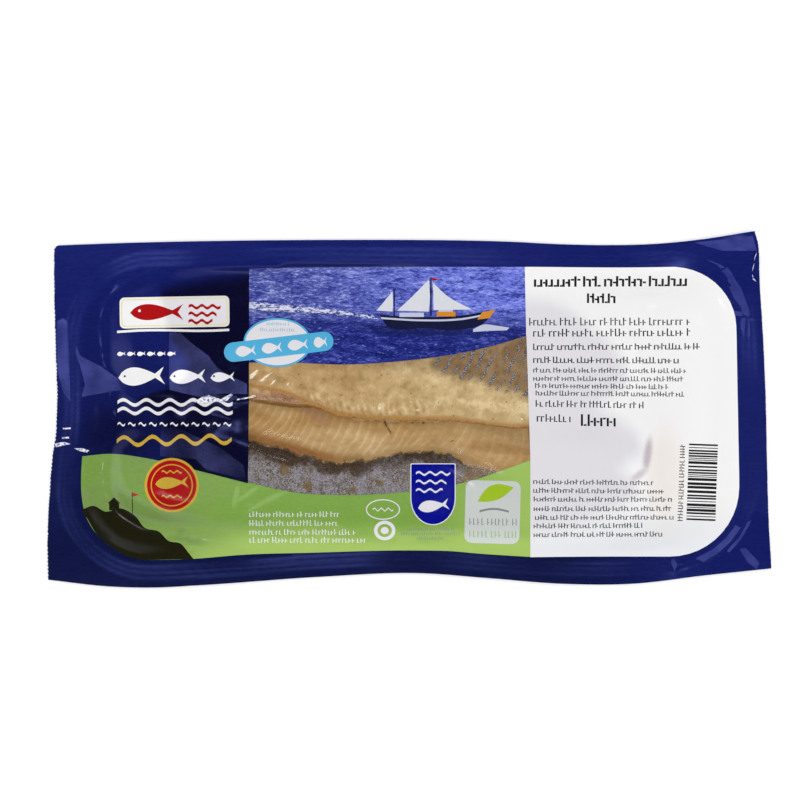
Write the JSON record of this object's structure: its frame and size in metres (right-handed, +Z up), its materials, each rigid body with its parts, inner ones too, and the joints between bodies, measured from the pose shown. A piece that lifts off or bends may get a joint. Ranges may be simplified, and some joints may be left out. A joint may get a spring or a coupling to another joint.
{
  "type": "smoked herring fillet pack",
  "caption": "Flat vacuum pack of smoked herring fillets: a printed film with a clear window, sealed all round to a formed lower film.",
  "frame": {"origin": "under the middle of the pack, on the surface that it lies on", "axes": "+X along the pack from the left cut edge to the curled right end, +Y across it towards the upper fillet, +Z up through the printed film"},
  "size_m": [0.2714, 0.1336, 0.0187],
  "materials": {
    "navy_film": "glossy navy laminate, plain",
    "printed_film": "glossy laminate printed navy with fields of white, green and sea blue",
    "clear_film": "clear glossy film, drawn tight",
    "skinned_flesh": "moist smoked flesh, smooth and tan with a silvery sheen",
    "cut_flesh": "moist smoked flesh with pale curved muscle lines",
    "silver_skin": "moist silver-grey skin with golden patches"
  },
  "bodies": {
    "root": {"bottom_film": "navy_film", "top_film": "printed_film", "window": "clear_film", "fillet_upper": "skinned_flesh", "fillet_middle": "cut_flesh", "fillet_lower": "silver_skin"}
  },
  "joints": []
}
